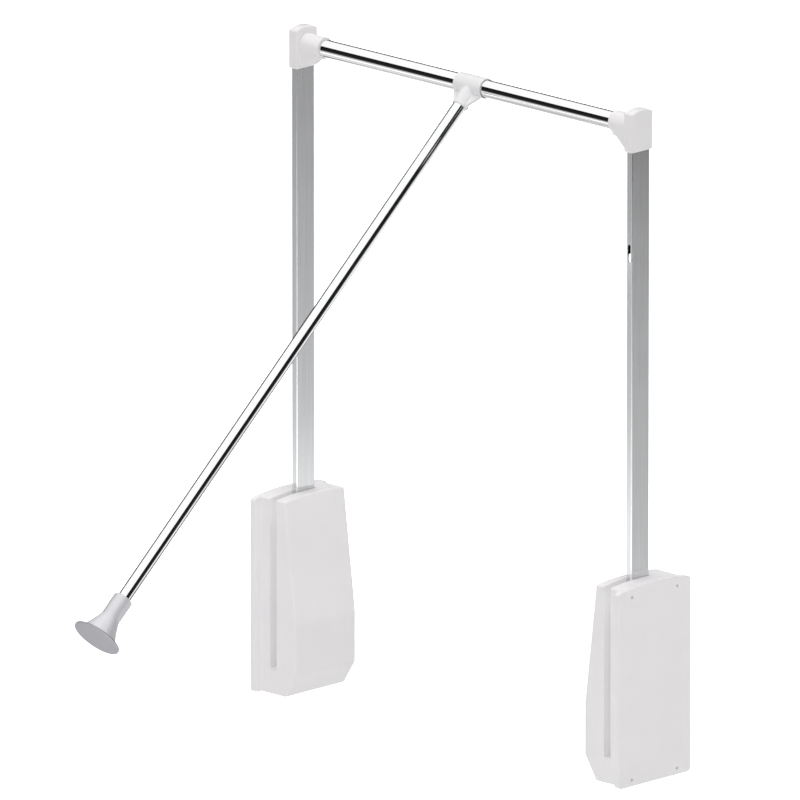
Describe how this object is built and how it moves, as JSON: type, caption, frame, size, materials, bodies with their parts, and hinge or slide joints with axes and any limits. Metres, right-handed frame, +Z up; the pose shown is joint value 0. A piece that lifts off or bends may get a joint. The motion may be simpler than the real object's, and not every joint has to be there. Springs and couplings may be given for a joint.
{
  "type": "pull down closet rod",
  "caption": "Pull down wardrobe rail on spring loaded swing arms, with wall housings, a telescopic hanging rail and a hand rod with a trumpet knob.",
  "frame": {"origin": "centre of the left base plate's wall face, which is the centre of its wall screw pattern", "axes": "+X from the left wall face to the right one along the hanging rail, -Y towards the user and the way the rail comes down, +Z up along the raised arms"},
  "size_m": [0.65, 0.7441, 0.8585],
  "materials": {
    "die_cast": "as cast",
    "plain_steel": "zinc plated",
    "spring_steel": "oiled spring wire",
    "white_plastic": "fine satin moulded",
    "light_paint": "light grey powder coat",
    "dark_plastic": "black moulded",
    "natural_plastic": "natural acetal",
    "silver_lacquer": "satin silver lacquered",
    "chrome_tube": "bright chromed",
    "black_rubber": "matt",
    "satin_nickel": "satin nickel plated"
  },
  "bodies": {
    "left_housing": {"base_plate_left": "white_plastic", "housing_shell_left": "white_plastic", "chassis_channel_left": "light_paint", "chassis_screws_left": "plain_steel", "pivot_bushes_left": "natural_plastic", "stop_buffers_left": "black_rubber", "spring_guides_left": "plain_steel", "return_springs_left": "spring_steel", "damper_body_left": "dark_plastic", "damper_lid_left": "dark_plastic", "damper_screws_left": "plain_steel"},
    "left_carriage": {"rack_carriage_left": "natural_plastic"},
    "left_frame": {"swing_arm_left": "satin_nickel", "arm_insert_left": "die_cast", "arm_rivets_left": "plain_steel", "pivot_axle_left": "plain_steel", "axle_rings_left": "spring_steel", "drive_gear_left": "natural_plastic", "damper_rotor_left": "natural_plastic", "corner_cap_left": "white_plastic", "cap_screws_left": "plain_steel", "rail_tube_left": "chrome_tube", "rail_guide_bush": "natural_plastic"},
    "pull_rod": {"t_connector": "white_plastic", "t_screw": "plain_steel", "rod_screws": "plain_steel", "pull_rod": "chrome_tube", "pull_knob": "silver_lacquer"},
    "right_frame": {"swing_arm_right": "satin_nickel", "arm_insert_right": "die_cast", "arm_rivets_right": "plain_steel", "pivot_axle_right": "plain_steel", "axle_rings_right": "spring_steel", "drive_gear_right": "natural_plastic", "damper_rotor_right": "natural_plastic", "corner_cap_right": "white_plastic", "cap_screws_right": "plain_steel", "rail_tube_right": "chrome_tube", "rail_tube_inner": "chrome_tube", "rail_end_glide": "natural_plastic", "rail_fixed_sleeve": "natural_plastic", "rail_joint_rivet": "plain_steel"},
    "right_housing": {"base_plate_right": "white_plastic", "housing_shell_right": "white_plastic", "chassis_channel_right": "light_paint", "chassis_screws_right": "plain_steel", "pivot_bushes_right": "natural_plastic", "stop_buffers_right": "black_rubber", "spring_guides_right": "plain_steel", "return_springs_right": "spring_steel", "damper_body_right": "dark_plastic", "damper_lid_right": "dark_plastic", "damper_screws_right": "plain_steel"},
    "right_carriage": {"rack_carriage_right": "natural_plastic"}
  },
  "joints": [
    {"name": "arm_swing", "type": "hinge", "parent": "left_housing", "child": "left_frame", "pos_m": [0.0305, 0, -0.068], "axis": [1, 0, 0], "range_deg": [0, 95], "stiffness_Nm_per_rad": 5.6, "springref_deg": -57.3},
    {"name": "pull_rod_swivel", "type": "hinge", "parent": "left_frame", "child": "pull_rod", "pos_m": [0.331, 0, 0.709], "axis": [1, 0, 0], "range_deg": [-95, 48]},
    {"name": "width_adjust", "type": "slide", "parent": "left_frame", "child": "right_frame", "axis": [1, 0, 0], "range_m": [0, 0.18]},
    {"name": "right_housing_hinge", "type": "hinge", "parent": "right_frame", "child": "right_housing", "pos_m": [0.6195, 0, -0.068], "axis": [1, 0, 0], "range_deg": [-95, 0]},
    {"name": "left_rack_slide", "type": "slide", "parent": "left_housing", "child": "left_carriage", "axis": [0, 0, 1], "range_m": [0, 0.0333], "deforming": ["return_springs_left"]},
    {"name": "right_rack_slide", "type": "slide", "parent": "right_housing", "child": "right_carriage", "axis": [0, 0, 1], "range_m": [0, 0.0333], "deforming": ["return_springs_right"]}
  ],
  "couplings": [
    {"joint": "right_housing_hinge", "follows": "arm_swing", "ratio": -1},
    {"joint": "left_rack_slide", "follows": "arm_swing", "m_per_rad": 0.02},
    {"joint": "right_rack_slide", "follows": "arm_swing", "m_per_rad": 0.02}
  ]
}
